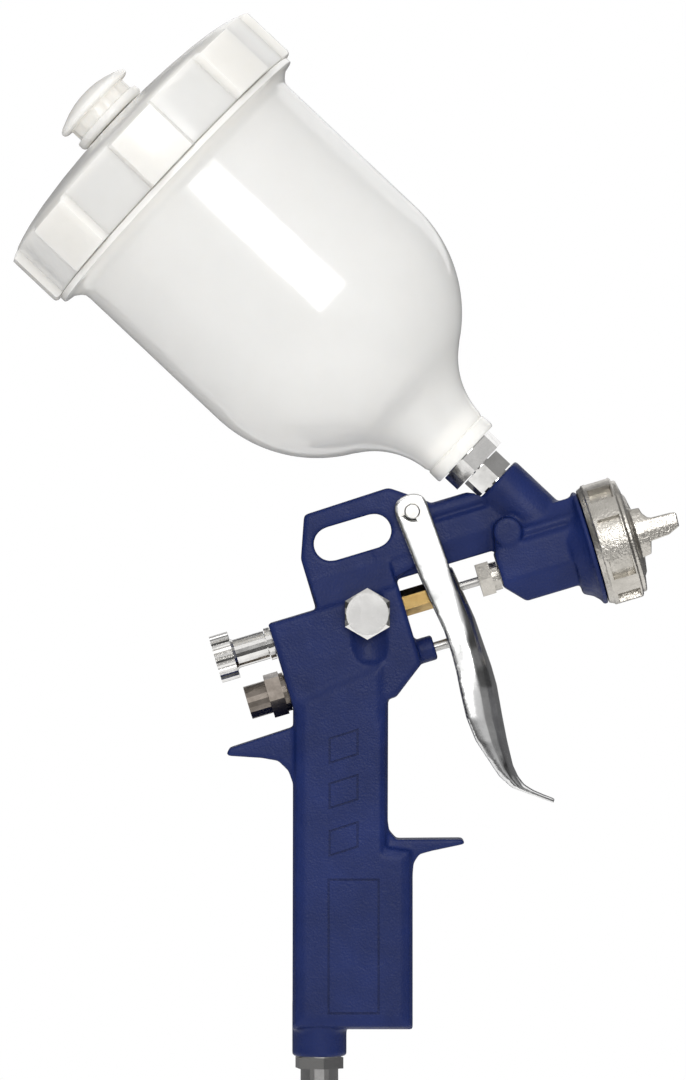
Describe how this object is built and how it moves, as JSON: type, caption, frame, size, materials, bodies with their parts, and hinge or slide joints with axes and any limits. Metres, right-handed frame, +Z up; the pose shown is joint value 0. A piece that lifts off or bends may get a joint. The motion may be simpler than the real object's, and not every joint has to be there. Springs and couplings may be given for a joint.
{
  "type": "gravity-feed air spray gun",
  "caption": "Gravity-feed air spray gun: upright cast grip, trigger, needle and air valve, knurled controls, turning air cap and a tilted translucent cup with a lugged lid.",
  "frame": {"origin": "centre of the open lower end of the air plug under the grip", "axes": "+Z up the upright grip, +X towards the nozzle, +Y towards the fan control knob; Y = 0 is the mid-plane"},
  "size_m": [0.2033, 0.1042, 0.3461],
  "materials": {
    "blue_paint": "semi-gloss dark blue paint over a cast surface",
    "chrome": "bright plating",
    "nickel": "satin nickel plating",
    "steel": "satin",
    "brass": "turned",
    "milky_plastic": "translucent, smooth",
    "seal_plastic": "plain"
  },
  "bodies": {
    "gun": {"gun_body": "blue_paint", "air_plug": "chrome", "side_plug": "chrome", "fan_control_bush": "chrome", "fluid_control_bush": "chrome", "gland_nut": "nickel", "needle_packing": "seal_plastic", "air_valve_seat": "brass", "air_valve_cap": "nickel", "fluid_nozzle": "steel", "air_baffle": "brass", "cup_joint": "chrome", "trigger_pin": "steel", "pin_clip": "steel"},
    "trigger": {"trigger": "steel"},
    "needle": {"needle": "steel", "needle_collar": "brass", "needle_spring": "steel"},
    "air_valve": {"air_valve_stem": "steel", "air_valve_spring": "steel"},
    "fluid_knob": {"fluid_knob": "chrome"},
    "fan_knob": {"fan_control_knob": "chrome", "fan_control_stem": "steel"},
    "air_cap": {"air_cap": "nickel"},
    "cap_ring": {"air_cap_ring": "nickel"},
    "cup": {"paint_cup": "milky_plastic", "cup_nut": "chrome"},
    "lid": {"cup_lid": "milky_plastic"},
    "vent": {"vent_cap": "milky_plastic"}
  },
  "joints": [
    {"name": "trigger_pull", "type": "hinge", "parent": "gun", "child": "trigger", "pos_m": [0.0282, 0, 0.1935], "axis": [0, 1, 0], "range_deg": [0, 12], "stiffness_Nm_per_rad": 1, "springref_deg": -5.73},
    {"name": "needle_slide", "type": "slide", "parent": "gun", "child": "needle", "axis": [-0.9578, 0, -0.2874], "range_m": [0, 0.0058], "deforming": ["needle_spring"]},
    {"name": "air_valve_slide", "type": "slide", "parent": "gun", "child": "air_valve", "axis": [-0.9578, 0, -0.2874], "range_m": [0, 0.0092], "deforming": ["air_valve_spring"]},
    {"name": "fluid_knob_turn", "type": "hinge", "parent": "gun", "child": "fluid_knob", "pos_m": [0.0886, 0, 0.1843], "axis": [0.9578, 0, 0.2874], "range_deg": [-360, 360]},
    {"name": "fan_knob_turn", "type": "hinge", "parent": "gun", "child": "fan_knob", "pos_m": [0.0146, 0, 0.1624], "axis": [0, 1, 0], "range_deg": [-360, 360]},
    {"name": "air_cap_turn", "type": "hinge", "parent": "gun", "child": "air_cap", "pos_m": [0.0886, 0, 0.1843], "axis": [0.9578, 0, 0.2874], "range_deg": [-90, 90]},
    {"name": "cap_ring_turn", "type": "hinge", "parent": "gun", "child": "cap_ring", "pos_m": [0.0886, 0, 0.1843], "axis": [0.9578, 0, 0.2874], "continuous": true},
    {"name": "cup_turn", "type": "hinge", "parent": "gun", "child": "cup", "pos_m": [0.0448, 0, 0.2111], "axis": [-0.7278, 0, 0.6858], "continuous": true},
    {"name": "lid_lift", "type": "slide", "parent": "cup", "child": "lid", "axis": [-0.7278, 0, 0.6858], "range_m": [0, 0.05]},
    {"name": "vent_lift", "type": "slide", "parent": "lid", "child": "vent", "axis": [-0.7278, 0, 0.6858], "range_m": [0, 0.015]}
  ],
  "couplings": [
    {"joint": "needle_slide", "follows": "trigger_pull", "m_per_rad": 0.0262},
    {"joint": "air_valve_slide", "follows": "trigger_pull", "m_per_rad": 0.0416}
  ]
}
